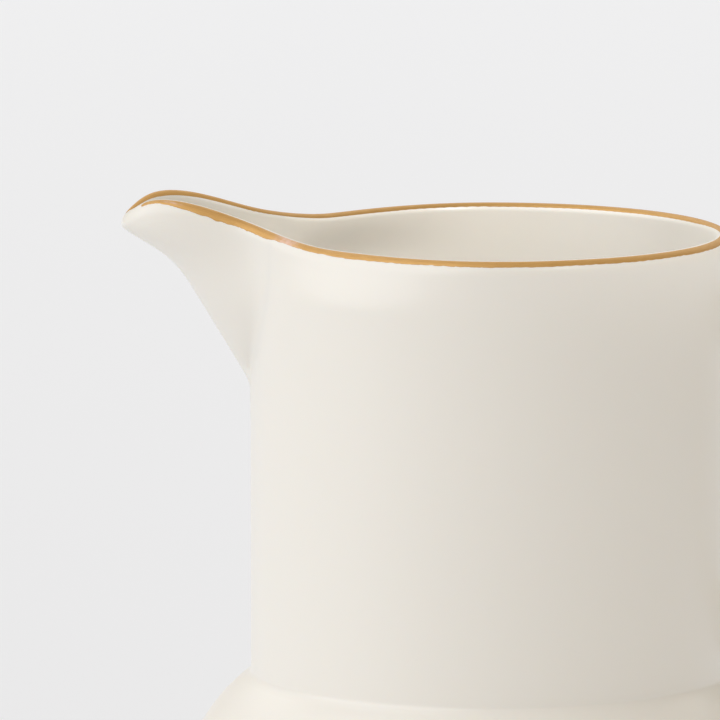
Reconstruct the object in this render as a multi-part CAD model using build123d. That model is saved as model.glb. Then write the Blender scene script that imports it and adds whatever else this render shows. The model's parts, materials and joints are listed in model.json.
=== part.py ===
from build123d import *
from math import asin, cos, exp, pi, radians, sin, sqrt
import os

# Porcelain cream jug, in millimetres, +Z up, standing on Z = 0.
# The axis of the neck is X = Y = 0.  The pouring beak points to -X, the handle to +X.
# A "level" is a height measured from the plane of the rim.

# ---------------------------------------------------------------- driving sizes
rim_height = 102.0          # resting plane to the plane of the rim
neck_height = 57.0          # shoulder corner to the plane of the rim
neck_radius = 31.0          # outside of the neck
wall = 2.4                  # wall of the body, the neck and the beak
base_thickness = 2.8        # floor of the jug, over the recess under it

shoulder_radius = 22.0      # outside arc from the neck's corner over the belly
shoulder_slope = 35.0       # degrees below level where that arc leaves the neck
foot_radius = 28.5          # outside of the foot ring
foot_width = 3.2            # radial width of the foot ring
foot_height = 3.0           # foot ring, up to the underside of the belly
foot_edge = 0.8             # rounding of the ring's edges

beak_reach = 17.2           # tip of the beak, out from the neck
beak_depth = 19.5           # root of the beak, below the rim plane
beak_half_width = 10.8      # half the width of the beak where it leaves the neck
beak_flare = 0.26           # share of the reach that comes in the flare under the tip
beak_wall = 2.7             # level thickness of the beak at its nose
beak_wall_points = 4        # points of the ring, from the nose, over which it thins
channel_waist = 1.0         # how much the channel narrows behind the tip

tip_level = 1.5             # tip of the beak, over the rim plane
crest_level = 4.8           # highest point of the beak's lip
crest_setback = 6.0         # crest of the lip, in from the tip
rise_setback = 11.0         # start of the lip's rise, in from the front of the neck

rim_lean = 2.05             # how far the rim leans in on both sides of the beak
lean_depth = 4.5            # height over which it leans
lean_start = 24.0           # degrees from the middle of the beak

lip_round = 1.4             # part of the wall that the lip's outer rounding takes
lip_outer_height = 1.9      # height of that rounding
lip_inner_height = 1.0      # height of the rounding inside

seam_margin = 1.2           # seam of beak and neck, outside the beak's width and over its root

line_low = 28.0             # lower edge of the gold line, in degrees round the lip
line_high = 78.0            # upper edge of the gold line
line_depth = 0.22           # thickness given to the gold line
bare_tip = 3.0              # length of the beak's lip that carries no gold

handle_drop = 12.0          # middle of the upper root, below the rim plane
handle_span = 38.5          # upper root to lower root
handle_reach = 26.5         # middle of the grip, out from the neck
handle_width = 8.6          # across the grip
handle_thickness = 5.4      # through the grip
root_flare = 1.75           # roots of the handle, as a share of the grip's size

# --------------------------------------------------------------- derived sizes
shoulder_height = rim_height - neck_height
shoulder_middle_x = neck_radius - shoulder_radius * sin(radians(shoulder_slope))
shoulder_middle_z = shoulder_height - shoulder_radius * cos(radians(shoulder_slope))
belly_radius = shoulder_middle_x + shoulder_radius
recess_height = foot_height - 0.8
floor_height = recess_height + base_thickness
tip_x = -neck_radius - beak_reach
crest_x = tip_x + crest_setback
rise_x = -neck_radius + rise_setback
root_level = -beak_depth
neck_steps = 8              # points from the side of the neck to the beak's corner
beak_shares = (0.84, 0.62, 0.4, 0.2, 0.06, 0.0)     # points along the beak's flank
pace_depth = 4.0            # below the rim, where the spacing of those points is taken


def smooth(share):
    """Ease from 0 to 1."""
    share = min(max(share, 0.0), 1.0)
    return share * share * (3 - 2 * share)


# ---------------------------------------------------- rings of the neck and beak
def nose_distance(level):
    """How far the nose of the beak stands from the axis: straight, then a flare."""
    share = max((tip_level - level) / (beak_depth + tip_level), 0.0)
    flare = exp(-((share / 0.17) ** 2))
    return neck_radius + beak_reach * ((1 - beak_flare) * (1 - share) + beak_flare * flare)


def root_half_width(level):
    """Half the width of the beak where it leaves the neck."""
    share = min(max(-level / beak_depth, 0.0), 1.0)
    return beak_half_width * max(1 - share**2.7, 0.3)


def neck_point(share, level):
    """Point between the side of the neck and the beak's corner, leaning in near the rim."""
    start = radians(lean_start)
    corner = asin(root_half_width(level) / neck_radius) + radians(2.5)
    angle = pi / 2 - (pi / 2 - corner) * share * (1.35 - 0.35 * share)
    t = max((angle - start) / (pi / 2 - start), 0.0)
    lean = rim_lean * smooth(1 + level / lean_depth) * 6.75 * t * (1 - t) ** 2
    return -(neck_radius - lean) * cos(angle), (neck_radius - lean) * sin(angle)


def beak_point(share, level):
    """Point on the beak's flank; share runs from 0 at the nose to 1 at the corner."""
    half_width = root_half_width(level)
    nose = nose_distance(level)
    length = nose - sqrt(neck_radius**2 - half_width**2)
    narrowing = channel_waist * smooth(1 + level / 10)
    y = half_width * (sqrt(share) - narrowing * share**3 * (1 - share))
    return -max(nose - length * share, sqrt(neck_radius**2 - y**2)), y


def side_point(index, level):
    """Point number index of one side, from the side of the neck to the nose."""
    if index < neck_steps:
        return neck_point(index / (neck_steps - 1), level)
    return beak_point(beak_shares[index - neck_steps], level)


def lip_level(x):
    """Level of the lip: flat round the neck, rising along the beak, dropping to its tip."""
    if x > crest_x:
        share = max((rise_x - x) / (rise_x - crest_x), 0.0)
        return crest_level * smooth(share**1.3)
    return crest_level - (crest_level - tip_level) * ((crest_x - x) / crest_setback) ** 2


def side_at_lip(index, level_under):
    """The side point whose level is level_under(level of the lip over it)."""
    level = 0.0
    for _ in range(30):
        x, y = side_point(index, level)
        level += 0.5 * (level_under(lip_level(x)) - level)
    return Vector(x, y, level)


def moved_in(points, inset):
    """The points moved level and square to their line, further at the nose of the beak."""
    last = len(points) - 1
    moved = []
    for index, point in enumerate(points):
        if index in (0, last):
            along = Vector(-1 if index == 0 else 1, 0)
        else:
            back = point - points[index - 1]
            ahead = points[index + 1] - point
            along = back * (1 / back.length**2) + ahead * (1 / ahead.length**2)
            along = Vector(along.X, along.Y).normalized()
        nearness = smooth(1 - abs(index - last / 2) / beak_wall_points)
        distance = inset * (1 + (beak_wall / wall - 1) * nearness)
        moved.append(point + Vector(-along.Y, along.X) * distance)
    return moved


def run_along(points):
    """Distance run along the points, from 0 at the first."""
    runs = [0.0]
    for here, there in zip(points, points[1:]):
        runs.append(runs[-1] + (there - here).length)
    return runs


def ring(level_under, inset=0.0):
    """Closed ring round neck and beak: a spline in front of the sides, an arc behind."""
    side = [side_at_lip(index, level_under) for index in range(neck_steps + len(beak_shares))]
    mirrored = [Vector(p.X, -p.Y, p.Z) for p in reversed(side[:-1])]
    points = moved_in(side + mirrored, inset)
    pace = run_along([Vector(*side_point(i, -pace_depth)) for i in range(len(side))])
    pace += [2 * pace[-1] - run for run in reversed(pace[:-1])]
    speed = (points[1] - points[0]).length / pace[1]
    ends = [Vector(-speed, 0), Vector(speed, 0)]
    front = Edge.make_spline(points, tangents=ends, parameters=pace, scale=False)
    tail = Vector(neck_radius - inset, 0, points[0].Z)
    behind = Edge.make_three_point_arc(points[-1], tail, points[0])
    return Pos(0, 0, rim_height) * Wire([front, behind])


def root_ring(inset):
    """Round ring where the upper neck stands on the lower body."""
    radius = neck_radius - inset
    side, far_side = Vector(0, radius), Vector(0, -radius)
    front = Edge.make_three_point_arc(side, Vector(-radius, 0), far_side)
    behind = Edge.make_three_point_arc(far_side, Vector(radius, 0), side)
    return Pos(0, 0, rim_height + root_level) * Wire([front, behind])


def wall_ring(share, inset, lip_height):
    """Ring on a side of the wall, share of the way up from the round neck to the lip."""
    return ring(lambda lip: root_level + share * (lip - lip_height - root_level), inset)


def lip_ring(degrees, depth=0.0):
    """Ring on the rounded lip: 0 outside, 90 on top, 180 inside; depth is under its skin."""
    turn = radians(degrees)
    outside = degrees <= 90
    round_part = lip_round if outside else wall - lip_round
    height = lip_outer_height if outside else lip_inner_height
    inset = lip_round - (round_part - depth) * cos(turn)
    drop = height - (height - depth) * sin(turn)
    return ring(lambda lip: lip - drop, inset)


# ------------------------------------------------------------- hollow porcelain
def skin(rings):
    """The faces of a smooth skin through an odd number of rings, three rings at a time."""
    bands = [Shell.make_loft(rings[i : i + 3]) for i in range(0, len(rings) - 2, 2)]
    return [face for band in bands for face in band.faces()]


def strips(rings):
    """The faces of narrow strips, straight from ring to ring."""
    return list(Shell.make_loft(rings, ruled=True).faces())


def neck_and_line():
    """Upper neck with its beak, and the closed gold line let into its lip."""
    shares = [step / 6 for step in range(1, 6)]
    line_span = line_high - line_low
    middles = [line_low + line_span * share for share in (0.25, 0.5, 0.75)]
    root, inner_root = root_ring(0), root_ring(wall)
    start, low, high, end = [lip_ring(degrees) for degrees in (0, line_low, line_high, 180)]
    outside = [root] + [wall_ring(share, 0, lip_outer_height) for share in shares] + [start]
    inside = [inner_root] + [wall_ring(share, wall, lip_inner_height) for share in shares] + [end]
    under_line = [start, lip_ring(line_low / 2), low]
    over_line = [high] + [lip_ring(degrees) for degrees in (90, 120, 150)] + [end]
    groove = [low] + [lip_ring(degrees, line_depth) for degrees in middles] + [high]
    face_of_line = [low] + [lip_ring(degrees) for degrees in middles] + [high]
    sides = skin(outside) + skin(under_line) + strips(groove) + skin(over_line) + skin(inside)
    neck = Solid(Shell(sides + [Face(root, [inner_root])]))
    line = Solid(Shell(strips(face_of_line) + strips(groove)))
    return neck, line


def turned_body(inset, bottom_height, bottom_radius):
    """Solid lower body turned about Z, moved in by inset; its arc runs on into the neck."""
    radius = shoulder_radius - inset
    slope = radians(shoulder_slope - 15)
    top_x = shoulder_middle_x + radius * sin(slope)
    top_z = shoulder_middle_z + radius * cos(slope)
    widest = (belly_radius - inset, 0, shoulder_middle_z)
    shoulder = TangentArc(widest, (top_x, 0, top_z), tangent=(0, 0, 1))
    belly = TangentArc(widest, (bottom_radius, 0, bottom_height), tangent=(0, 0, -1))
    closing = Polyline(
        (top_x, 0, top_z), (0, 0, top_z), (0, 0, bottom_height), (bottom_radius, 0, bottom_height)
    )
    face = Face(Wire([*shoulder.edges(), *belly.edges(), *closing.edges()]))
    return revolve(face, Axis.Z)


def foot_ring():
    """Ring that the jug stands on, with rounded edges."""
    ring = Cylinder(foot_radius, foot_height, align=(Align.CENTER, Align.CENTER, Align.MIN))
    ring -= Cylinder(
        foot_radius - foot_width, recess_height, align=(Align.CENTER, Align.CENTER, Align.MIN)
    )
    standing_edges = ring.edges().filter_by(GeomType.CIRCLE).group_by(Axis.Z)[0]
    return fillet(standing_edges, foot_edge)


def lower_body():
    """Belly, foot ring and round neck, hollow, up to the root of the beak."""
    root_height = rim_height + root_level
    shaft_height = root_height - shoulder_middle_z
    shaft = Pos(0, 0, shoulder_middle_z + shaft_height / 2)
    outside = turned_body(0, foot_height, foot_radius) + foot_ring()
    outside += shaft * Cylinder(neck_radius, shaft_height)
    inside = turned_body(wall, floor_height, foot_radius - wall / 2)
    inside += shaft * Cylinder(neck_radius - wall, shaft_height)
    return outside - inside


# ------------------------------------------------------------ beak, line, handle
def beak_seat():
    """Pointed notch in the neck wall that the beak is set into, as a solid."""
    half_width = beak_half_width + seam_margin
    side_level = -beak_depth * 0.35
    high = (half_width, rim_height + 2 * crest_level)
    side = (half_width, rim_height + side_level)
    point = (0, rim_height + root_level + seam_margin)
    ends = ((0, -1), (0, 1))
    arch = Spline(side, point, (-side[0], side[1]), tangents=ends)
    closing = Polyline((-side[0], side[1]), (-high[0], high[1]), high, side)
    outline = Plane.YZ * Face(Wire([*arch.edges(), *closing.edges()]))
    behind_wall = -neck_radius * 0.5
    return Pos(behind_wall, 0, 0) * extrude(outline, amount=beak_reach + neck_radius, dir=(-1, 0, 0))


def handle():
    """Ear-shaped strap with flared roots that fit the neck, and the shoulder where they reach it."""
    inside_wall = neck_radius - wall / 2
    top = rim_height - handle_drop
    outline = ((0.55, 0.03), (0.92, -0.17), (1.0, -0.42), (0.82, -0.73), (0.40, -0.95))
    points = [(inside_wall, 0, top)]
    points += [(neck_radius + handle_reach * x, 0, top + handle_span * z) for x, z in outline]
    points += [(inside_wall, 0, top - handle_span)]
    path = Spline(*points, tangents=((1, 0, 0.1), (-1, 0, 0.05)))
    sections = []
    for step in range(13):
        share = step / 12
        size = root_flare + (1 - root_flare) * smooth(min(share, 1 - share) / 0.22)
        plane = Plane(path @ share, x_dir=(0, 1, 0), z_dir=path % share)
        sections.append(plane * Ellipse(handle_width / 2 * size, handle_thickness / 2 * size))
    strap = loft(sections)
    neck = Pos(0, 0, top - handle_span / 2) * Cylinder(neck_radius, handle_span * 2)
    return strap - neck - turned_body(0, foot_height, foot_radius)


# ---------------------------------------------------------------------- assembly
def build():
    """Every piece of the jug, by name."""
    neck, line = neck_and_line()
    size = 4 * beak_half_width
    bare = Pos(tip_x + bare_tip - size / 2, 0, rim_height) * Box(size, size, size)
    neck += line & bare
    seat = beak_seat()
    return {
        "jug_body": lower_body() + (neck - seat),
        "spout": neck & seat,
        "handle": handle(),
        "rim_gilding": line - bare,
    }


os.makedirs("parts", exist_ok=True)
for name, piece in build().items():
    export_step(piece, f"parts/{name}.step")
    print(name, round(piece.volume, 1))
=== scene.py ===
# %% [markdown]
# # A porcelain cream jug
#
# A hollow porcelain jug: a round neck, a drawn-out pouring beak, a rounded belly on a foot ring,
# an ear-shaped handle and a hand-painted gold line on the lip. Each step below says what the real
# piece is, how it could be made here, and why it is made the way it is.

# %% Load the fixed frame
import json
from math import asin, atan2, cos, exp, pi, radians, sin, sqrt

import bpy
import numpy as np
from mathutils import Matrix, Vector, noise

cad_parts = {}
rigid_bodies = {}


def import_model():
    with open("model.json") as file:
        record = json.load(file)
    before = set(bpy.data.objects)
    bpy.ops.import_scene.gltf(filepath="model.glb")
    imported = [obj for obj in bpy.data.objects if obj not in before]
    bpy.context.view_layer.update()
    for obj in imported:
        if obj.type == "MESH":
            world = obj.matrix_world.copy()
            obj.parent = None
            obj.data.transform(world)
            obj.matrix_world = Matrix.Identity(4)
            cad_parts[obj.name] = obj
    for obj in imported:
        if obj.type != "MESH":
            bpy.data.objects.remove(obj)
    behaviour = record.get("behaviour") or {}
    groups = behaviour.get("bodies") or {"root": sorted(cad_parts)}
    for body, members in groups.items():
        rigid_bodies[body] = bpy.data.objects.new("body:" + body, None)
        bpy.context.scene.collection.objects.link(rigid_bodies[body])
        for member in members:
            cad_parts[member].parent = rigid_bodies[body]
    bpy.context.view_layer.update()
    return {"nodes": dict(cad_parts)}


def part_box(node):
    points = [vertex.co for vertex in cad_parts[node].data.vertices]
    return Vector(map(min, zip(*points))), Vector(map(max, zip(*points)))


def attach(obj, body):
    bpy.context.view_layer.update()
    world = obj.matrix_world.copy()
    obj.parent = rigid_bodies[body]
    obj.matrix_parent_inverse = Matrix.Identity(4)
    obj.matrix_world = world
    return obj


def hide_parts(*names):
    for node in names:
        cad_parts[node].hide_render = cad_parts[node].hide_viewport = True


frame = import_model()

print("nodes:", list(frame["nodes"]))

# %% [markdown]
# ## Sizes
#
# A thrown and cast jug is a few plain numbers: the height and width of the neck, the arcs of the
# belly, the reach of the beak. The whole body could be sculpted by eye, but then the beak, the lip
# and the gold line would each need fitting to the others. Here they all follow from one set of
# sizes, in millimetres, with levels measured from the plane of the rim.

# %% Sizes of the turned part
MM = 0.001
RIM = 102.0                 # height of the rim plane
NECK_RADIUS = 31.0
SHOULDER = RIM - 57.0       # corner of neck and shoulder
WALL = 2.4
BELLY_ARC = 21.96           # arc from the shoulder corner over the belly
BELLY_SLOPE = radians(35)
FOOT_RADIUS, FOOT_WIDTH, FOOT_HEIGHT, FOOT_EDGE = 28.5, 3.2, 3.0, 0.8
RECESS, FLOOR = 2.2, 5.0    # underside and upper side of the floor of the jug

ARC_X = NECK_RADIUS - BELLY_ARC * sin(BELLY_SLOPE)
ARC_Z = SHOULDER - BELLY_ARC * cos(BELLY_SLOPE)
print("belly, mm: radius", round(ARC_X + BELLY_ARC, 2), "at height", round(ARC_Z, 2))

# %% Sizes of the beak and the lip
REACH, DEPTH, HALF_WIDTH = 17.18, 19.5, 10.8    # the beak: out, down and across
FLARE, NOSE_WALL, WAIST = 0.26, 2.7, 1.0
TIP_LEVEL, CREST_LEVEL, CREST_SETBACK, RISE_SETBACK = 1.5, 4.74, 6.0, 11.0
LEAN, LEAN_DEPTH, LEAN_START = 2.05, 7.0, radians(24)    # the rim leans in beside the beak
LIP_OUT, LIP_OUT_HEIGHT, LIP_IN_HEIGHT = 1.4, 1.9, 1.0   # the rounded lip, outside and inside
NOSE_RISE = 0.72            # how much of the lip's rise the top of the wall takes over

TIP_X = -NECK_RADIUS - REACH
CREST_X = TIP_X + CREST_SETBACK
RISE_X = -NECK_RADIUS + RISE_SETBACK
node_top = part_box("rim_gilding")[1][2]
print("lip crest, mm:", RIM + CREST_LEVEL, "gilding in the frame reaches", round(node_top / MM, 2))

# %% [markdown]
# ## Rings round the neck and the beak
#
# The potter pulls the beak out of a round neck, so every level is a closed ring: half of it stays
# round, and the front runs off the circle along two concave flanks to a nose. A ring is a smooth
# curve through a few points on a rule. It could be a box of control points moved by hand, but the
# rule keeps the beak's crease, its hollow flank and its nose in step from level to level.

# %% Nose and root of the beak
FLARE_FADE = 0.17           # share of the depth over which the flared tip dies away
ROOT_EASE = 0.0012          # rounds the turn from the nose into the neck
TAPER_POWER, LEAST_WIDTH = 2.7, 0.3    # how the root narrows downwards, and where that ends


def smooth(share):
    """Ease from 0 to 1."""
    share = min(max(share, 0.0), 1.0)
    return share * share * (3 - 2 * share)


def nose_distance(level):
    """Distance of the beak's nose from the axis, easing into the neck at its root."""
    share = (TIP_LEVEL - level) / (DEPTH + TIP_LEVEL)
    down = max(share, 0.0)
    run = 1 - down
    run = 0.5 * (run + sqrt(run * run + ROOT_EASE))
    return NECK_RADIUS + REACH * ((1 - FLARE) * run + FLARE * exp(-((down / FLARE_FADE) ** 2)))


def root_half_width(level):
    """Half the width of the beak where it leaves the neck."""
    share = min(max(-level / DEPTH, 0.0), 1.0)
    return HALF_WIDTH * max(1 - share**TAPER_POWER, LEAST_WIDTH)


print("nose of the beak at the rim plane:", round(nose_distance(0.0), 2), "mm from the axis")

# %% Points of one side of a ring
NECK_STEPS = 8              # points on the round
BEAK_SHARES = (0.84, 0.62, 0.4, 0.2, 0.06, 0.0)    # points on the flank, as shares of its length
CREASE_GAP = radians(2.5)   # from the last point on the round to the crease
CROWDING = 0.35             # how far the points draw together towards the crease
HUMP = 27 / 4               # brings the peak of t * (1 - t)**2 to 1
FLANK_POWER, WAIST_DEPTH = 0.45, 10.0


def side_point(index, level):
    """Point number index of one side of a ring, from the side of the neck to the nose."""
    half_width = root_half_width(level)
    if index < NECK_STEPS:
        share = index / (NECK_STEPS - 1)
        crease = asin(half_width / NECK_RADIUS) + CREASE_GAP
        angle = pi / 2 - (pi / 2 - crease) * share * (1 + CROWDING - CROWDING * share)
        t = max((angle - LEAN_START) / (pi / 2 - LEAN_START), 0.0)
        lean = LEAN * smooth(1 + level / LEAN_DEPTH) * HUMP * t * (1 - t) ** 2
        radius = NECK_RADIUS - lean
        return -radius * cos(angle), radius * sin(angle)
    share = BEAK_SHARES[index - NECK_STEPS]
    nose = nose_distance(level)
    length = nose - sqrt(NECK_RADIUS**2 - half_width**2)
    narrowing = WAIST * smooth(1 + level / WAIST_DEPTH)
    y = half_width * (share**FLANK_POWER - narrowing * share**3 * (1 - share))
    return -max(nose - length * share, sqrt(NECK_RADIUS**2 - y**2)), y


SIDE_COUNT = NECK_STEPS + len(BEAK_SHARES)
print("points on one side:", SIDE_COUNT)

# %% Level of the lip
RISE_POWER = 1.1            # above 1, the lip starts to rise later
SETTLING_ROUNDS = 24


def lip_level(x):
    """Level of the lip: flat round the neck, rising along the beak, dropping to its tip."""
    if x > CREST_X:
        risen = max((RISE_X - x) / (RISE_X - CREST_X), 0.0)
        return CREST_LEVEL * smooth(risen**RISE_POWER)
    return CREST_LEVEL - (CREST_LEVEL - TIP_LEVEL) * ((CREST_X - x) / CREST_SETBACK) ** 2


def side_at_lip(index, level_under):
    """The side point whose level is level_under(level of the lip over it)."""
    level = 0.0
    for _ in range(SETTLING_ROUNDS):
        x, y = side_point(index, level)
        level += 0.5 * (level_under(lip_level(x)) - level)
    return x, y, level


print("lip above the rim plane, mm: crest", lip_level(CREST_X), "tip", round(lip_level(TIP_X), 2))

# %% [markdown]
# ## From points to a smooth ring
#
# Twenty-seven points are too few for a polished surface. Subdividing a cage would round them off
# and shrink the beak. A clamped cubic through the points keeps them, and because every ring is
# paced by the same reference line, one matrix turns points into columns for all of them.

# %% Smooth curve through points
def spline_weights(knots, stations):
    """Matrix that takes points and two end slopes to places on a smooth curve."""
    count, step = len(knots), np.diff(knots)
    left, right = np.eye(count), np.zeros((count, count + 2))
    right[0, count] = right[-1, count + 1] = 1
    for i in range(1, count - 1):
        a, b = step[i - 1], step[i]
        left[i, i - 1 : i + 2] = 1 / a, 2 / a + 2 / b, 1 / b
        right[i, i - 1 : i + 2] = -3 / a**2, 3 / a**2 - 3 / b**2, 3 / b**2
    slopes = np.linalg.solve(left, right)
    points = np.eye(count, count + 2)
    rows = []
    for station in stations:
        i = min(max(int(np.searchsorted(knots, station, side="right")) - 1, 0), count - 2)
        h = step[i]
        u = (station - knots[i]) / h
        rows.append(
            (1 + 2 * u) * (1 - u) ** 2 * points[i] + u * (1 - u) ** 2 * h * slopes[i]
            + u * u * (3 - 2 * u) * points[i + 1] - u * u * (1 - u) * h * slopes[i + 1]
        )
    return np.array(rows)


def paces(points):
    """Distance run at each point of a line."""
    return np.concatenate([[0.0], np.cumsum(np.linalg.norm(np.diff(points, axis=0), axis=1))])


# %% Both sides, and the way in through the wall
PACE_DEPTH = 4.0            # below the rim, where the reference line is taken
NOSE_SPREAD = 4             # points either side of the nose that share its thicker wall


def mirrored(side):
    """One side and its mirror image, nose in the middle."""
    side = np.array(side)
    return np.vstack([side, side[-2::-1] * (1, -1, 1)])


def moved_in(points, inset):
    """Points moved level and square to their line, a little further at the nose."""
    last = len(points) - 1
    back, ahead = points[1:-1] - points[:-2], points[2:] - points[1:-1]
    along = back / (back**2).sum(1, keepdims=True) + ahead / (ahead**2).sum(1, keepdims=True)
    along = np.vstack([[-1, 0, 0], along, [1, 0, 0]])[:, :2]
    along = along / np.linalg.norm(along, axis=1, keepdims=True)
    near = [smooth(1 - abs(i - last / 2) / NOSE_SPREAD) for i in range(last + 1)]
    distance = inset * (1 + (NOSE_WALL / WALL - 1) * np.array(near))
    moved = points.copy()
    moved[:, 0] -= along[:, 1] * distance
    moved[:, 1] += along[:, 0] * distance
    return moved


PACE = paces(mirrored([(*side_point(i, -PACE_DEPTH), 0.0) for i in range(SIDE_COUNT)]))
print("front half of a ring:", len(PACE), "points over", round(PACE[-1], 1), "mm")


# %% Rings on chosen columns
class Columns:
    """Stations round a ring: front ones by distance, back ones by angle."""

    def __init__(self, front, back):
        self.weights = spline_weights(PACE, front)
        self.back = np.array(back)

    def ring(self, level_under, inset=0.0, lift=0.0):
        """Ring on a side of the wall; lift carries the lip's rise in with the wall."""
        outer = mirrored([side_at_lip(i, level_under) for i in range(SIDE_COUNT)])
        crown = moved_in(outer, min(inset, LIP_OUT))
        points = moved_in(outer, inset)
        rise = [lip_level(a) - lip_level(b) for a, b in zip(crown[:, 0], outer[:, 0])]
        points[:, 2] += lift * np.array(rise)
        speed = np.linalg.norm(points[1] - points[0]) / PACE[1]
        front = self.weights @ np.vstack([points, [[-speed, 0, 0], [speed, 0, 0]]])
        radius, level = points[0, 1], points[0, 2]
        back = [(radius * cos(a), radius * sin(a), level) for a in self.back]
        return np.vstack([front, back]) + (0, 0, RIM)

    def wall_ring(self, share, inset, lip_height):
        """Ring on the wall, share of the way from the beak's root to the lip."""
        top_quarter = 4 * share - 3
        return self.ring(
            lambda lip: -DEPTH + share * (lip - lip_height + DEPTH),
            inset, NOSE_RISE * smooth(top_quarter),
        )

    def lip_ring(self, degrees, depth=0.0):
        """Ring on the rounded lip: 0 outside, 90 on top, 180 inside."""
        turn = radians(degrees)
        part = LIP_OUT if degrees <= 90 else WALL - LIP_OUT
        height = LIP_OUT_HEIGHT if degrees <= 90 else LIP_IN_HEIGHT
        inset = LIP_OUT - (part - depth) * cos(turn)
        drop = height - (height - depth) * sin(turn)
        return self.ring(lambda lip: lip - drop, inset, NOSE_RISE)


# %% [markdown]
# ## The profile of the turned part
#
# Below the beak the jug is turned: recess, foot ring, belly, shoulder, neck. Its outline could be
# spun by a Screw modifier, but the beak's rings have to continue from it without a step, so the
# outline gives radius and height and the rings' own columns carry it round. Its rows crowd beside
# each corner, so that the shading turns at the corner and nowhere else.

# %% Arcs of the outline
def arc(centre, radius, start, end, steps):
    """Points (radius, height) on an arc in the outline, angles in degrees from level."""
    turns = np.radians(np.linspace(start, end, steps))
    return [(centre[0] + radius * cos(t), centre[1] + radius * sin(t)) for t in turns]


def belly_arc(inset, foot_x, foot_z):
    """Lower belly: centre, radius and lowest angle of the arc upright at the widest level."""
    widest = ARC_X + BELLY_ARC - inset
    across, down = widest - foot_x, ARC_Z - foot_z
    radius = (across**2 + down**2) / (2 * across)
    lowest = np.degrees(atan2(foot_z - ARC_Z, foot_x - widest + radius))
    return (widest - radius, ARC_Z), radius, lowest


# %% Outline, outside
TURNED_TOP = RIM - DEPTH - 5.5      # the rings of the beak take over above this
RECESS_EDGE = 0.6
RECESS_ROWS = (4, 9, 14, 18, 21.5, 23.6, 24.6)    # radii under the floor of the jug
FOOT_ROWS = ((0.0, 1.4), (0.0, 1.9), (0.0, 2.3), (0.06, 2.65))    # out from the foot, height
SHOULDER_ROWS = ((0.12, 0.05), (0.02, 0.24), (0.0, 0.45))         # out and up from the corner
ABOVE_SHOULDER = 0.9
LOWER_ROWS, UPPER_ROWS, NECK_ROWS = 34, 24, 16    # belly under and over its widest, neck
WIDEST_GAP = 2.5                    # degrees between the belly's two arcs
FOOT_GAP, SHOULDER_GAP = 1.0, 1.2   # degrees left free beside the corners


def turned_outside():
    """Outline from the middle of the recess to the neck."""
    inner, outer = FOOT_RADIUS - FOOT_WIDTH, FOOT_RADIUS
    line = [(r, RECESS) for r in RECESS_ROWS]
    line += arc((inner - RECESS_EDGE, RECESS - RECESS_EDGE), RECESS_EDGE, 90, 0, 5)
    line += arc((inner + FOOT_EDGE, FOOT_EDGE), FOOT_EDGE, 180, 270, 7)
    line += arc((outer - FOOT_EDGE, FOOT_EDGE), FOOT_EDGE, 270, 360, 7)
    line += [(outer + out, z) for out, z in FOOT_ROWS]
    centre, radius, lowest = belly_arc(0, outer, FOOT_HEIGHT)
    line += arc(centre, radius, lowest + FOOT_GAP, 0, LOWER_ROWS)
    shoulder = 90 - np.degrees(BELLY_SLOPE) - SHOULDER_GAP
    line += arc((ARC_X, ARC_Z), BELLY_ARC, WIDEST_GAP, shoulder, UPPER_ROWS)
    line += [(NECK_RADIUS + out, SHOULDER + up) for out, up in SHOULDER_ROWS]
    neck = np.linspace(SHOULDER + ABOVE_SHOULDER, TURNED_TOP, NECK_ROWS)
    return line + [(NECK_RADIUS, z) for z in neck]


print("outline:", len(turned_outside()), "points outside")

# %% Outline, inside
FLOOR_ROWS = (24, 20, 15, 10, 5)                # radii on the floor of the jug
FLOOR_EDGE_ROWS = ((0.3, 0.35), (1.6, 0.06))    # in from the wall, up from the floor
ABOVE_NECK_CORNER = 0.8
INNER_NECK_ROWS, INNER_UPPER_ROWS, INNER_LOWER_ROWS = 10, 18, 20
NECK_GAP, FLOOR_GAP = 1.5, 3.5                  # degrees left free beside the corners


def turned_inside():
    """Outline from the neck to the middle of the floor."""
    radius, inner_neck = BELLY_ARC - WALL, NECK_RADIUS - WALL
    shoulder = np.degrees(np.arccos((inner_neck - ARC_X) / radius))
    neck_corner = ARC_Z + radius * sin(np.radians(shoulder))
    neck = np.linspace(TURNED_TOP, neck_corner + ABOVE_NECK_CORNER, INNER_NECK_ROWS)
    line = [(inner_neck, z) for z in neck]
    line += arc((ARC_X, ARC_Z), radius, shoulder - NECK_GAP, 0, INNER_UPPER_ROWS)
    edge = FOOT_RADIUS - WALL / 2
    centre, radius, lowest = belly_arc(WALL, edge, FLOOR)
    line += arc(centre, radius, -WIDEST_GAP, lowest + FLOOR_GAP, INNER_LOWER_ROWS)
    line += [(edge - inward, FLOOR + up) for inward, up in FLOOR_EDGE_ROWS]
    return line + [(r, FLOOR) for r in FLOOR_ROWS]


print("outline:", len(turned_inside()), "points inside")

# %% [markdown]
# ## One glazed skin
#
# Body and beak are two pieces of clay, joined with slip while leather-hard and glazed as one. The
# eye sees one unbroken skin, but a library part keeps both pieces. So all the rings are made first
# as one closed grid, its smooth normals are taken, and only then is the grid divided along the
# beak's crease, with a wall between outside and inside that closes each piece.

# %% Columns of the grid
HALF_COUNTS = [4] * 5 + [5, 6] + [7, 7, 7, 7, 7, 6]    # columns from point to point, to the nose
BACK_COLUMNS = 72
BELOW_ROOT = (4.5, 3.4, 2.4, 1.5, 0.7)    # rings under the beak's root


def spread(knots, counts):
    """Stations between knots, counts[i] of them from knot i on."""
    parts = [np.linspace(a, b, n, endpoint=False) for a, b, n in zip(knots, knots[1:], counts)]
    return np.concatenate(parts + [[knots[-1]]])


def back_angles(count):
    """Angles round the back of the neck, without its two sides."""
    return np.linspace(1.5 * pi, 2.5 * pi, count + 2)[1:-1]


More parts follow.
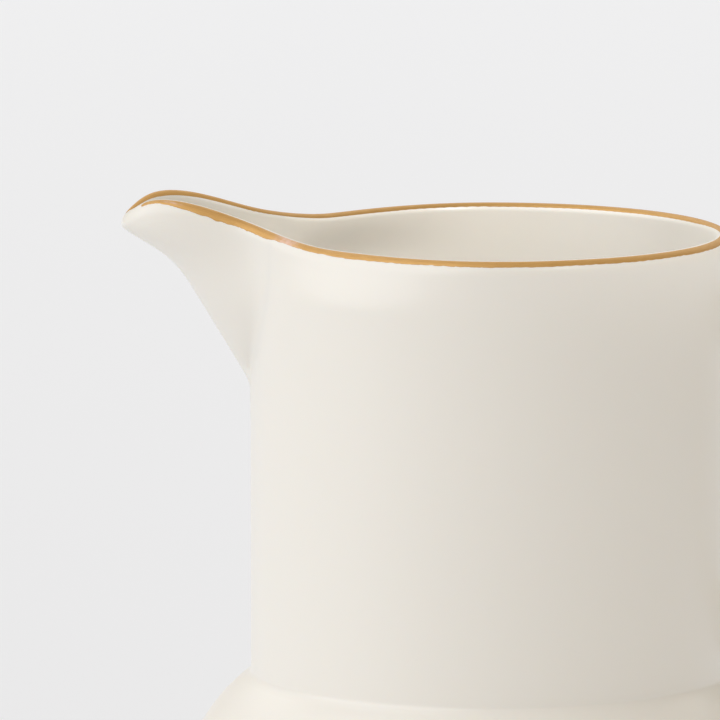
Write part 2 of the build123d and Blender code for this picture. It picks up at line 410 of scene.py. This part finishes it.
front = spread(PACE, HALF_COUNTS + HALF_COUNTS[::-1])
columns = Columns(front, back_angles(BACK_COLUMNS))
CREASE = sum(HALF_COUNTS[: NECK_STEPS - 1])
CREASE_END = len(front) - 1 - CREASE

lowest_ring = columns.ring(lambda lip: -DEPTH - BELOW_ROOT[0])
ANGLES = np.unwrap(np.arctan2(lowest_ring[:, 1], lowest_ring[:, 0]))
print("columns:", len(ANGLES), "with the beak between", CREASE, "and", CREASE_END)

# %% Rows of the grid
WALL_ROWS, LIP_ROWS = 34, 29


def turned_ring(radius, height):
    """Round ring on the columns of the beak's lowest ring."""
    return np.stack([radius * np.cos(ANGLES), radius * np.sin(ANGLES), 0 * ANGLES + height], 1)


rows = [turned_ring(r, z) for r, z in turned_outside()]
rows += [columns.ring(lambda lip, d=d: -DEPTH - d) for d in BELOW_ROOT]
ROOT_ROW = len(rows)
rows += [columns.wall_ring(k / WALL_ROWS, 0, LIP_OUT_HEIGHT) for k in range(WALL_ROWS)]
rows += [columns.lip_ring(degrees) for degrees in np.linspace(0, 180, LIP_ROWS)]
rows += [columns.wall_ring(k / WALL_ROWS, WALL, LIP_IN_HEIGHT) for k in reversed(range(WALL_ROWS))]
INNER_ROOT_ROW = len(rows) - 1
rows += [columns.ring(lambda lip, d=d: -DEPTH - d, WALL) for d in reversed(BELOW_ROOT)]
rows += [turned_ring(r, z) for r, z in turned_inside()]
grid = np.array(rows)
ROWS, COLS = grid.shape[:2]
print("grid:", ROWS, "rows x", COLS, "columns")

# %% Faces of the grid
BOTTOM, INSIDE = ROWS * COLS, ROWS * COLS + 1    # middle of the recess, middle of the floor
vertices = np.vstack([grid.reshape(-1, 3), [[0, 0, RECESS], [0, 0, FLOOR]]]) * MM


def corner(row, col):
    """Number of the grid's vertex in a row and a column, round and round."""
    return row * COLS + col % COLS


def strip_quad(low_row, high_row, col):
    """Quad between two rows, facing out when the high row is further along the skin."""
    return (
        corner(low_row, col), corner(low_row, col + 1),
        corner(high_row, col + 1), corner(high_row, col),
    )


body_faces, beak_faces = [], []
for row in range(ROWS - 1):
    for col in range(COLS):
        in_beak = ROOT_ROW <= row < INNER_ROOT_ROW and CREASE <= col < CREASE_END
        (beak_faces if in_beak else body_faces).append(strip_quad(row, row + 1, col))
for col in range(COLS):
    body_faces.append((BOTTOM, corner(0, col + 1), corner(0, col)))
    body_faces.append((corner(ROWS - 1, col), corner(ROWS - 1, col + 1), INSIDE))
print("skin faces: body", len(body_faces), "beak", len(beak_faces))

# %% Normals of the whole skin
whole = bpy.data.meshes.new("whole_skin")
whole.from_pydata(vertices.tolist(), [], body_faces + beak_faces)
whole.update()
normals = np.zeros(len(whole.vertices) * 3)
whole.vertices.foreach_get("normal", normals)
normals = normals.reshape(-1, 3)
bpy.data.meshes.remove(whole)
print("normals of the whole skin:", len(normals))


# %% Seam between body and beak
def seam_quads():
    """Wall between outside and inside along the seam, facing out of the beak."""
    both = ROOT_ROW + INNER_ROOT_ROW
    quads = []
    for row in range(ROOT_ROW, both // 2):
        facing, above = both - row, both - row - 1
        for col, turned in ((CREASE, False), (CREASE_END, True)):
            quad = [corner(row, col), corner(row + 1, col), corner(above, col), corner(facing, col)]
            quad = list(dict.fromkeys(quad))
            quads.append(quad[::-1] if turned else quad)
    for col in range(CREASE, CREASE_END):
        quads.append(list(strip_quad(INNER_ROOT_ROW, ROOT_ROW, col)))
    return quads


def add_object(name, data):
    """Object of some data, in the scene."""
    made = bpy.data.objects.new(name, data)
    bpy.context.collection.objects.link(made)
    return made


def piece_from(name, skin, seam):
    """Mesh object of some faces of the grid, with the whole skin's normals."""
    faces = skin + seam
    used = sorted({v for face in faces for v in face})
    place = {v: i for i, v in enumerate(used)}
    mesh = bpy.data.meshes.new(name)
    mesh.from_pydata(vertices[used].tolist(), [], [[place[v] for v in face] for face in faces])
    mesh.update()
    mesh.polygons.foreach_set("use_smooth", [True] * len(faces))
    loop_normals = [normals[v] for face in skin for v in face]
    for polygon in mesh.polygons[len(skin):]:
        loop_normals += [tuple(polygon.normal)] * polygon.loop_total
    mesh.normals_split_custom_set([tuple(n) for n in loop_normals])
    return add_object(name, mesh)


# %% Body and beak
seam = seam_quads()
jug_body = piece_from("glazed_body", body_faces, [face[::-1] for face in seam])
beak = piece_from("pouring_beak", beak_faces, seam)
for piece, node_name in ((jug_body, "jug_body"), (beak, "spout")):
    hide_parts(node_name)
    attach(piece, "root")
print("body:", len(jug_body.data.polygons), "faces; beak:", len(beak.data.polygons), "faces")

# %% [markdown]
# ## The handle
#
# A handle is a pulled strap of clay: oval, tapering to the grip and swelling where it is pressed on
# to the neck. It follows a path, so it is a rule: sweep an oval along a curve and widen it towards
# its ends. Geometry Nodes do exactly this and keep the widths as named inputs, where a modelled
# tube would bury them in its vertices.

# %% Path of the handle
DROP, SPAN, GRIP_REACH = 12.0, 38.5, 26.5
EAR = ((0.55, 0.03), (0.92, -0.17), (1.0, -0.42), (0.82, -0.73), (0.40, -0.95))
END_SLOPES = [[1.43, 0, 0.143], [-1.7, 0, 0.085]]
PATH_STEPS = 120

root_x, root_z = NECK_RADIUS - WALL / 2, RIM - DROP
ear = [(NECK_RADIUS + GRIP_REACH * out, 0, root_z + SPAN * up) for out, up in EAR]
knots = np.array([(root_x, 0, root_z), *ear, (root_x, 0, root_z - SPAN)])
runs = paces(knots)
weights = spline_weights(runs, np.linspace(0, runs[-1], PATH_STEPS + 1))
places = weights @ np.vstack([knots, END_SLOPES])

line = bpy.data.curves.new("handle_path", "CURVE")
line.dimensions = "3D"
stroke = line.splines.new("POLY")
stroke.points.add(PATH_STEPS)
for point, place in zip(stroke.points, places * MM):
    point.co = (*place, 1)
path = add_object("handle_path", line)
print("handle path:", round(runs[-1], 1), "mm along its chords")

# %% Porcelain of all three pieces (made here because the handle's tree names it)
porcelain = bpy.data.materials.new("glazed_ivory_porcelain")
porcelain.use_nodes = True

# %% Inputs of the strap's tree
tree = bpy.data.node_groups.new("pulled_strap", "GeometryNodeTree")
interface = tree.interface
interface.new_socket("Geometry", in_out="INPUT", socket_type="NodeSocketGeometry")
strap_sizes = (
    ("Half width", 4.3 * MM), ("Half thickness", 2.7 * MM),
    ("Root flare", 0.75), ("Eased share", 0.2),       # wider by this share, over this share of the path
    ("Slip fillet", 0.12), ("Fillet share", 0.035),   # the same for the slip pressed out at the joint
)
sockets = {}
for name, value in strap_sizes:
    socket = interface.new_socket(name, in_out="INPUT", socket_type="NodeSocketFloat")
    socket.default_value = value
    sockets[name] = socket.identifier
interface.new_socket("Geometry", in_out="OUTPUT", socket_type="NodeSocketGeometry")
print("strap inputs:", sockets)


# %% Helpers for the strap's tree
def node(kind, **settings):
    """A node of the strap's tree."""
    made = tree.nodes.new(kind)
    for key, value in settings.items():
        setattr(made, key, value)
    return made


def math(operation, *values):
    """A math node fed with sockets or numbers; gives its output."""
    made = node("ShaderNodeMath", operation=operation)
    for slot, value in enumerate(values):
        if isinstance(value, bpy.types.NodeSocket):
            tree.links.new(value, made.inputs[slot])
        else:
            made.inputs[slot].default_value = value
    return made.outputs[0]


# %% Width along the strap
group_in, group_out = node("NodeGroupInput"), node("NodeGroupOutput")
share = node("GeometryNodeSplineParameter").outputs["Factor"]
to_end = math("MINIMUM", share, math("SUBTRACT", 1.0, share))
ease = node("ShaderNodeMapRange", interpolation_type="SMOOTHSTEP")
tree.links.new(to_end, ease.inputs["Value"])
tree.links.new(group_in.outputs["Eased share"], ease.inputs["From Max"])
ease.inputs["To Min"].default_value, ease.inputs["To Max"].default_value = 1.0, 0.0
flare = math("MULTIPLY", ease.outputs["Result"], group_in.outputs["Root flare"])
near = math("DIVIDE", to_end, group_in.outputs["Fillet share"])
fading = math("EXPONENT", math("MULTIPLY", math("MULTIPLY", near, near), -1.0))
fillet = math("MULTIPLY", fading, group_in.outputs["Slip fillet"])
width = math("ADD", math("ADD", flare, fillet), 1.0)
print("width along the strap:", len(tree.nodes), "nodes")

# %% Oval swept along the path
OVAL_SIDES = 56
oval = node("GeometryNodeCurvePrimitiveCircle")
oval.inputs["Resolution"].default_value = OVAL_SIDES
oval.inputs["Radius"].default_value = 1.0
scale = node("ShaderNodeCombineXYZ")
scale.inputs["Z"].default_value = 1.0
shape = node("GeometryNodeTransform")
sweep = node("GeometryNodeCurveToMesh")
sweep.inputs["Fill Caps"].default_value = True
shade = node("GeometryNodeSetShadeSmooth")
realize = node("GeometryNodeRealizeInstances")
finish = node("GeometryNodeSetMaterial")
finish.inputs["Material"].default_value = porcelain
for source, target in (
    (group_in.outputs["Geometry"], sweep.inputs["Curve"]),
    (width, sweep.inputs["Scale"]),
    (group_in.outputs["Half width"], scale.inputs["X"]),
    (group_in.outputs["Half thickness"], scale.inputs["Y"]),
    (oval.outputs["Curve"], shape.inputs["Geometry"]),
    (scale.outputs["Vector"], shape.inputs["Scale"]),
    (shape.outputs["Geometry"], sweep.inputs["Profile Curve"]),
    (sweep.outputs["Mesh"], shade.inputs["Geometry"]),
    (shade.outputs["Geometry"], realize.inputs["Geometry"]),
    (realize.outputs["Geometry"], finish.inputs["Geometry"]),
    (finish.outputs["Geometry"], group_out.inputs["Geometry"]),
):
    tree.links.new(source, target)
print("strap tree:", len(tree.nodes), "nodes")

# %% Evaluate the tree into a plain mesh
modifier = path.modifiers.new("strap", "NODES")
modifier.node_group = tree
for name, value in strap_sizes:
    modifier[sockets[name]] = value
evaluated = path.evaluated_get(bpy.context.evaluated_depsgraph_get())
strap_mesh = bpy.data.meshes.new_from_object(evaluated)
path.modifiers.remove(modifier)
bpy.data.objects.remove(path)
strap_mesh.name = "pulled_handle"
handle = add_object("pulled_handle", strap_mesh)
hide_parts("handle")
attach(handle, "root")
spans = np.array([v.co for v in strap_mesh.vertices])
print("handle:", len(strap_mesh.polygons), "faces, mm:", (np.ptp(spans, axis=0) / MM).round(1))

# %% [markdown]
# ## The gold line
#
# A gilder rests a loaded brush on the lip and turns the jug. The line is a film, thicker where the
# brush was pressed, with two strokes that meet on the beak's flank, and it stops short of the tip
# so that nothing wears off into the cream. A colour mask on the glaze would give the colour but no
# edge, so the line is a thin closed strip lying on the lip, with its edges worked out along the run.

# %% Stations of the film
BARE_NEAR, BARE_FAR = 3.4, 1.6      # left bare at the tip, on either side
FRONT_STATIONS, BACK_STATIONS = 481, 299
FILM = 0.05                         # thickness of the film at its middle
LIP_ANGLES = np.arange(10, 171, 8.0)    # on the rounded lip: 0 outside, 90 on top, 180 inside
OUTER_ANGLE, TOP_ANGLE = 8, 10      # of these, the one that the run follows, and the one on top

front = np.linspace(PACE[0], PACE[-1], FRONT_STATIONS)
film_columns = Columns(front, back_angles(BACK_STATIONS))
on_glaze = np.array([film_columns.lip_ring(d) for d in LIP_ANGLES])
raised = np.array([film_columns.lip_ring(d, depth=-FILM) for d in LIP_ANGLES])
crown_x = on_glaze[TOP_ANGLE, :, 0]
nose = int(np.argmin(crown_x))
order = [i for i in range(nose, on_glaze.shape[1]) if crown_x[i] > TIP_X + BARE_NEAR]
order += [i for i in range(nose) if crown_x[i] > TIP_X + BARE_FAR]
run_line = on_glaze[OUTER_ANGLE, order]
runs_along = paces(run_line).tolist()
total = runs_along[-1]
ends = [round(crown_x[i], 1) for i in (order[0], order[-1])]
print("film:", len(order), "stations over", round(total, 1), "mm, from x", ends[0], "to", ends[1])


# %% Unevenness of a hand-painted line
def wobble(run, size, seed):
    """Smooth unevenness along the run, between -1 and 1."""
    return noise.noise(Vector((run / size, seed, 0.37 * seed)))


def bump(value, middle, width):
    """A hump of height 1."""
    return exp(-(((value - middle) / width) ** 2))


def ragged(run, waves):
    """Sum of waves, each an amount in degrees, a length in mm and a seed."""
    return sum(amount * wobble(run, size, seed) for amount, size, seed in waves)


# %% Edges of the strokes
# Edges are angles on the rounded lip, and runs are in mm from the start of the line near the tip.
NEAR_LOW, NEAR_HIGH, FAR_LOW, FAR_HIGH = 54, 84, 66, 112
FRESH_WIDER, PRESSED_WIDER = 13, 19     # lower where the brush is full, and where it is pressed
LAST_RISE, BLOT_RISE = 38, 6            # higher at the end of the last stroke
FRESH_FROM, FRESH_OVER, LAST_OVER = 1.0, 6, 7
PRESS, SECOND_PRESS, DRAG, BLOT = (11.0, 6.0), (18.0, 2.6), (13.0, 8.0), (8.0, 4.0)  # at, width
LOW_WAVES = ((3.0, 6.0, 1.7), (2.4, 1.6, 5.1), (1.6, 0.6, 9.2))
DRAG_WAVES = ((7.0, 1.1, 3.3),)
HIGH_WAVES = ((2.0, 7.0, 12.9), (0.8, 1.2, 15.4))
START_TAPER, END_TAPER = 0.7, 1.8
BEAK_TURN, BACK_TURN, TURN_FROM, TURN_OVER = 3, 16, -30, 25    # passing to the far side, by x


def stroke_edges(run, x, y):
    """Lower and upper edge of the film at a run, x and y."""
    half_turn = BEAK_TURN + (BACK_TURN - BEAK_TURN) * smooth((x - TURN_FROM) / TURN_OVER)
    near_side = smooth(0.5 - 0.5 * y / half_turn)
    fresh, last = smooth((run - FRESH_FROM) / FRESH_OVER), smooth((total - run) / LAST_OVER)
    pressed = fresh * bump(run, *PRESS) + 0.5 * bump(run, *SECOND_PRESS)
    low = FAR_LOW + (NEAR_LOW - FRESH_WIDER * fresh - FAR_LOW) * near_side
    low -= near_side * PRESSED_WIDER * min(pressed, 1.0)
    low += ragged(run, LOW_WAVES) + near_side * bump(run, *DRAG) * ragged(run, DRAG_WAVES)
    high = FAR_HIGH + LAST_RISE * last + BLOT_RISE * bump(total - run, *BLOT)
    high += (NEAR_HIGH - high) * near_side + ragged(run, HIGH_WAVES)
    end = min(run / START_TAPER, (total - run) / END_TAPER, 1.0)
    half, middle = 0.5 * (high - low) * sqrt(end * (2 - end)), 0.5 * (low + high)
    return middle - half, middle + half, near_side


edges = [stroke_edges(run, *place[:2]) for run, place in zip(runs_along, run_line)]
print("narrowest and widest, degrees:", [round(f(b - a for a, b, _ in edges[9:-9])) for f in (min, max)])

# %% The film as a closed strip
ACROSS = 11
SIDES = 2 * ACROSS
CROWN = [1 - abs(2 * k / (ACROSS - 1) - 1) ** 4 for k in range(ACROSS)]
TOP_LIFT, TOP_SINK = 0.95, 0.15         # upper side of the film, in film thicknesses
UNDER_SINK, UNDER_BELLY = 0.6, 0.4      # lower side, just inside the glaze
MEETING, PATCH_RUN, PATCH_ACROSS = (22.5, 2.4), (4.6, 1.8), (0.42, 0.2)    # at, width
UV_LENGTH, UV_WIDTH = 10, 0.12          # mm of run to one unit, and the film's width in units


def on_lip(table, column, angle):
    """Place on the lip at any angle, between the rings of a table."""
    at = (angle - LIP_ANGLES[0]) / (LIP_ANGLES[1] - LIP_ANGLES[0])
    at = min(max(at, 0.0), len(LIP_ANGLES) - 1.001)
    k = int(at)
    return table[k, column] * (1 - (at - k)) + table[k + 1, column] * (at - k)


def film_point(column, low, high, k, upper):
    """Point number k across the film, on its upper or lower side."""
    angle = low + (high - low) * k / (ACROSS - 1)
    glaze, over = on_lip(on_glaze, column, angle), on_lip(raised, column, angle)
    lift = TOP_LIFT * CROWN[k] - TOP_SINK if upper else -UNDER_SINK - UNDER_BELLY * CROWN[k]
    return (glaze + (over - glaze) * lift) * MM


def thinness(run, across, near_side):
    """How far the glaze shines through: where the strokes meet, and in a patch near the start."""
    worn = 0.75 * near_side * bump(run, *MEETING)
    return worn + 0.6 * bump(run, *PATCH_RUN) * bump(across, *PATCH_ACROSS)


film_points, film_uv, film_thin = [], [], []
there_and_back = [(k, True) for k in range(ACROSS)] + [(k, False) for k in reversed(range(ACROSS))]
for column, run, (low, high, near_side) in zip(order, runs_along, edges):
    for k, upper in there_and_back:
        across = k / (ACROSS - 1)
        film_points.append(tuple(film_point(column, low, high, k, upper)))
        film_uv.append((run / UV_LENGTH, across * UV_WIDTH))
        film_thin.append(thinness(run, across, near_side))
print("film points:", len(film_points))

# %% Faces of the film
film_faces = []
for s in range(0, len(film_points) - SIDES, SIDES):
    for k in range(SIDES):
        a, b = s + k, s + (k + 1) % SIDES
        film_faces.append((a, b, b + SIDES, a + SIDES))
film_faces.append(tuple(range(SIDES))[::-1])
film_faces.append(tuple(range(len(film_points) - SIDES, len(film_points))))

film_mesh = bpy.data.meshes.new("gold_line")
film_mesh.from_pydata(film_points, [], film_faces)
film_mesh.update()
film_mesh.polygons.foreach_set("use_smooth", [True] * len(film_faces))
uv = film_mesh.uv_layers.new(name="brush")
for loop in film_mesh.loops:
    uv.data[loop.index].uv = film_uv[loop.vertex_index]
film_mesh.attributes.new("thin", "FLOAT", "POINT").data.foreach_set("value", film_thin)
gold_line = add_object("gold_line", film_mesh)
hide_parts("rim_gilding")
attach(gold_line, "root")
print("gold line:", round(total, 1), "mm long,", len(film_faces), "faces")

# %% [markdown]
# ## Glaze and gold
#
# The body is a warm ivory porcelain under a satin glaze: smooth, softly glossy, a touch
# translucent, with a faint waviness where the glaze ran. The foot ring is wiped before firing, so
# its standing edge is matt and a little darker. Burnished gold is a metal with streaks along the
# brush, and where the film is thin the glaze shines through pinkish. A painted image could hold all
# this, but only at one distance. Noise in object space or along the brush holds at any.

# %% Helper for materials
class Finish:
    """The nodes of one material, and short ways to add and link them."""

    def __init__(self, material):
        self.nodes, self.links = material.node_tree.nodes, material.node_tree.links
        self.shader = self.nodes["Principled BSDF"]

    def add(self, kind, inputs=None, **settings):
        """A node with its settings, and its inputs linked or set."""
        made = self.nodes.new(kind)
        for key, value in settings.items():
            setattr(made, key, value)
        for key, value in (inputs or {}).items():
            self.feed(made, key, value)
        return made

    def feed(self, made, key, value):
        """Link a socket to an input, or set the input to a value."""
        if isinstance(value, bpy.types.NodeSocket):
            self.links.new(value, made.inputs[key])
        else:
            made.inputs[key].default_value = value

    def noise(self, place, scale, detail, roughness=0.5):
        """Cloudy pattern, from 0 to 1."""
        inputs = {"Vector": place, "Scale": scale, "Detail": detail, "Roughness": roughness}
        return self.add("ShaderNodeTexNoise", inputs).outputs["Fac"]

    def math(self, operation, *values):
        """Sum, product and so on of sockets or numbers."""
        return self.add("ShaderNodeMath", dict(enumerate(values)), operation=operation).outputs[0]

    def mix(self, share, first, second):
        """Colour between two colours."""
        return self.add("ShaderNodeMix", {0: share, 6: first, 7: second}, data_type="RGBA").outputs[2]

    def ramp(self, value, low, high, to_low=0.0, to_high=1.0, kind="SMOOTHSTEP"):
        """Value from low to high taken to a new range."""
        inputs = {"Value": value, "From Min": low, "From Max": high, "To Min": to_low, "To Max": to_high}
        made = self.add("ShaderNodeMapRange", inputs, interpolation_type=kind)
        return made.outputs["Result"]

    def bump(self, height, strength, distance):
        """Normal of a fine relief."""
        inputs = {"Strength": strength, "Distance": distance, "Height": height}
        return self.add("ShaderNodeBump", inputs).outputs["Normal"]

    def surface(self, values):
        """Feed the shader's own sockets."""
        for key, value in values.items():
            self.feed(self.shader, key, value)


# %% Porcelain: glaze, and the wiped foot
IVORY, PALE_IVORY, BISCUIT = (0.845, 0.812, 0.745, 1), (0.855, 0.824, 0.76, 1), (0.72, 0.68, 0.60, 1)
glaze = Finish(porcelain)
place = glaze.add("ShaderNodeTexCoord").outputs["Object"]
cloud = glaze.noise(place, 22.0, 3.0)

axes = glaze.add("ShaderNodeSeparateXYZ", {"Vector": place}).outputs
squared = glaze.math("MULTIPLY", axes["X"], axes["X"])
squared = glaze.math("MULTIPLY_ADD", axes["Y"], axes["Y"], squared)
from_axis = glaze.math("SQRT", squared)
uneven = glaze.noise(place, 260.0, 2.0)
wiped_to = glaze.math("MULTIPLY_ADD", uneven, -0.6 * MM, axes["Z"])
low_down = glaze.ramp(wiped_to, 0.45 * MM, 0.6 * MM, 1.0, 0.0)
on_foot = glaze.ramp(from_axis, 25.0 * MM, 25.3 * MM)
bare = glaze.math("MULTIPLY", low_down, on_foot)
colour = glaze.mix(bare, glaze.mix(cloud, IVORY, PALE_IVORY), BISCUIT)
print("glaze and foot:", len(porcelain.node_tree.nodes), "nodes")

# %% Porcelain: gloss and relief
BISCUIT_ROUGHNESS, GLAZE_COAT = 0.85, 0.35
waves = glaze.noise(place, 55.0, 2.0, 0.45)
peel = glaze.noise(place, 700.0, 2.0)
relief = glaze.bump(glaze.math("MULTIPLY_ADD", peel, 0.05, waves), 0.25, 0.02 * MM)
satin = glaze.ramp(cloud, 0.0, 1.0, 0.34, 0.42, "LINEAR")
rough = glaze.add("ShaderNodeMix", {0: bare, 2: satin, 3: BISCUIT_ROUGHNESS}, data_type="FLOAT")
coat = glaze.math("MULTIPLY", glaze.math("SUBTRACT", 1.0, bare), GLAZE_COAT)
glaze.surface({
    "Base Color": colour, "Roughness": rough.outputs[0], "Normal": relief, "Coat Weight": coat,
    "Coat Roughness": 0.28, "IOR": 1.5, "Subsurface Weight": 0.12,
    "Subsurface Radius": (1.0, 0.75, 0.5), "Subsurface Scale": 1.2 * MM,
})
for piece in (jug_body, beak):
    piece.data.materials.append(porcelain)
print("porcelain:", len(porcelain.node_tree.nodes), "nodes")

# %% Gold
DEEP_GOLD, LIGHT_GOLD = (0.56, 0.305, 0.085, 1), (0.70, 0.415, 0.145, 1)
THIN_GOLD = (0.78, 0.52, 0.40, 1)
gold = bpy.data.materials.new("burnished_gold")
gold.use_nodes = True
gilt = Finish(gold)
brush = gilt.add("ShaderNodeUVMap", uv_map="brush").outputs["UV"]
along = gilt.add("ShaderNodeMapping", {"Vector": brush, "Scale": (1.2, 70.0, 1.0)})
streaks = gilt.noise(along.outputs["Vector"], 4.0, 5.0, 0.6)
patches = gilt.noise(brush, 14.0, 3.0)
tone = gilt.mix(gilt.ramp(streaks, 0.3, 0.7), DEEP_GOLD, LIGHT_GOLD)
thin = gilt.add("ShaderNodeAttribute", attribute_name="thin").outputs["Fac"]
thin = gilt.ramp(gilt.math("MULTIPLY", thin, patches), 0.05, 0.5)
metal = gilt.ramp(gilt.math("SUBTRACT", 1.0, thin), 0.0, 1.0, 0.25, 0.45)
gilt.surface({
    "Base Color": gilt.mix(thin, tone, THIN_GOLD),
    "Metallic": metal,
    "Roughness": gilt.ramp(streaks, 0.25, 0.75, 0.55, 0.40),
    "Normal": gilt.bump(streaks, 0.5, 0.03 * MM),
})
gold_line.data.materials.append(gold)
print("gold:", len(gold.node_tree.nodes), "nodes")

# %% [markdown]
# ## Floor, light and camera
#
# The jug stands on a plain pale floor under soft studio light. A very broad light from the front
# left shapes the round of the neck, a warm even sky fills the shadows, and a wide light high behind
# the jug brightens the floor there, which is the backdrop. The neck shades its own inside, so a
# narrow light reaches in through the mouth to the far wall. It shines on the body and the beak
# alone and leaves no patch on the floor. One lamp could do most of this, but it would throw hard
# edges on the glaze. The camera is far off with a long lens, a little above the rim, so that the
# rim is a thin ellipse, and it looks at the neck and the beak.

# %% Floor
STAGE_RADIUS, STAGE_SIDES = 9, 96    # m; so wide that its edge is out of sight
floor_mesh = bpy.data.meshes.new("floor")
turns = np.linspace(0, 2 * pi, STAGE_SIDES, endpoint=False)
circle = [(STAGE_RADIUS * cos(a), STAGE_RADIUS * sin(a), 0) for a in turns]
floor_mesh.from_pydata(circle, [], [tuple(range(STAGE_SIDES))])
floor = add_object("floor", floor_mesh)
pale = bpy.data.materials.new("pale_floor")
pale.use_nodes = True
matt = Finish(pale)
soft = matt.noise(matt.add("ShaderNodeTexCoord").outputs["Object"], 3.0, 2.0)
paper = matt.mix(soft, (0.865, 0.885, 0.925, 1), (0.875, 0.895, 0.935, 1))
matt.surface({"Base Color": paper, "Roughness": 0.9})
floor_mesh.materials.append(pale)
print("floor:", 2 * STAGE_RADIUS, "m across")

# %% Sky
world = bpy.data.worlds.new("studio")
bpy.context.scene.world = world
world.use_nodes = True
sky = world.node_tree.nodes["Background"]
sky.inputs["Color"].default_value = (1.0, 0.93, 0.83, 1)
sky.inputs["Strength"].default_value = 0.62
print("sky strength:", round(sky.inputs["Strength"].default_value, 2))

# %% Broad light from the front left
key_light = bpy.data.lights.new("key_left", "SUN")
key_light.energy, key_light.angle = 1.30, radians(74)
key_light.color = (0.94, 1.0, 1.10)
aside, up = radians(66), radians(39)
towards_key = Vector((-sin(aside) * cos(up), -cos(aside) * cos(up), sin(up)))
key = add_object("key_left", key_light)
key.rotation_euler = towards_key.to_track_quat("Z", "Y").to_euler()
print("key light from", [round(c, 2) for c in towards_key])

# %% Narrow light on the inner wall
INNER_WALL, LAMP_DISTANCE = Vector((-0.006, 0.022, 0.096)), 0.6
mouth_light = bpy.data.lights.new("mouth_fill", "SPOT")
mouth_light.energy, mouth_light.spot_size, mouth_light.spot_blend = 5.8, radians(7.4), 0.8
mouth_light.shadow_soft_size = 0.01
towards_fill = Vector((0.45, -0.62, 0.64)).normalized()
mouth = add_object("mouth_fill", mouth_light)
mouth.location = INNER_WALL + LAMP_DISTANCE * towards_fill
mouth.rotation_euler = towards_fill.to_track_quat("Z", "Y").to_euler()
lit_inside = bpy.data.collections.new("lit_inside")
for piece in (jug_body, beak):
    lit_inside.objects.link(piece)
mouth.light_linking.receiver_collection = lit_inside

# %% Light behind
back_light = bpy.data.lights.new("backdrop", "AREA")
back_light.shape, back_light.size, back_light.size_y = "RECTANGLE", 8.0, 5.0
back_light.energy, back_light.color = 85.0, (0.93, 0.98, 1.0)
backdrop = add_object("backdrop", back_light)
backdrop.location = (0, 5.0, 3.2)
print("light behind:", back_light.size, "x", back_light.size_y, "m")

# %% Camera
DISTANCE, LIFT = 1.45, 0.186    # from the jug, and above the plane of the rim
SENSOR, VIEW_WIDTH = 36, 0.0925    # mm, and m across the view at the jug
centre = Vector((-0.01695, 0, 0.08535))
rim_height = RIM * MM
camera_data = bpy.data.cameras.new("camera")
camera_data.sensor_width = SENSOR
camera_data.lens = SENSOR * sqrt(DISTANCE**2 + (rim_height + LIFT - centre.z) ** 2) / VIEW_WIDTH
camera_data.clip_end = 50
camera = add_object("camera", camera_data)
camera.location = (centre.x, -DISTANCE, rim_height + LIFT)
camera.rotation_euler = (centre - camera.location).to_track_quat("-Z", "Y").to_euler()
bpy.context.scene.camera = camera
bpy.context.scene.view_settings.view_transform = "Standard"
print("lens:", round(camera_data.lens), "mm at", DISTANCE, "m")
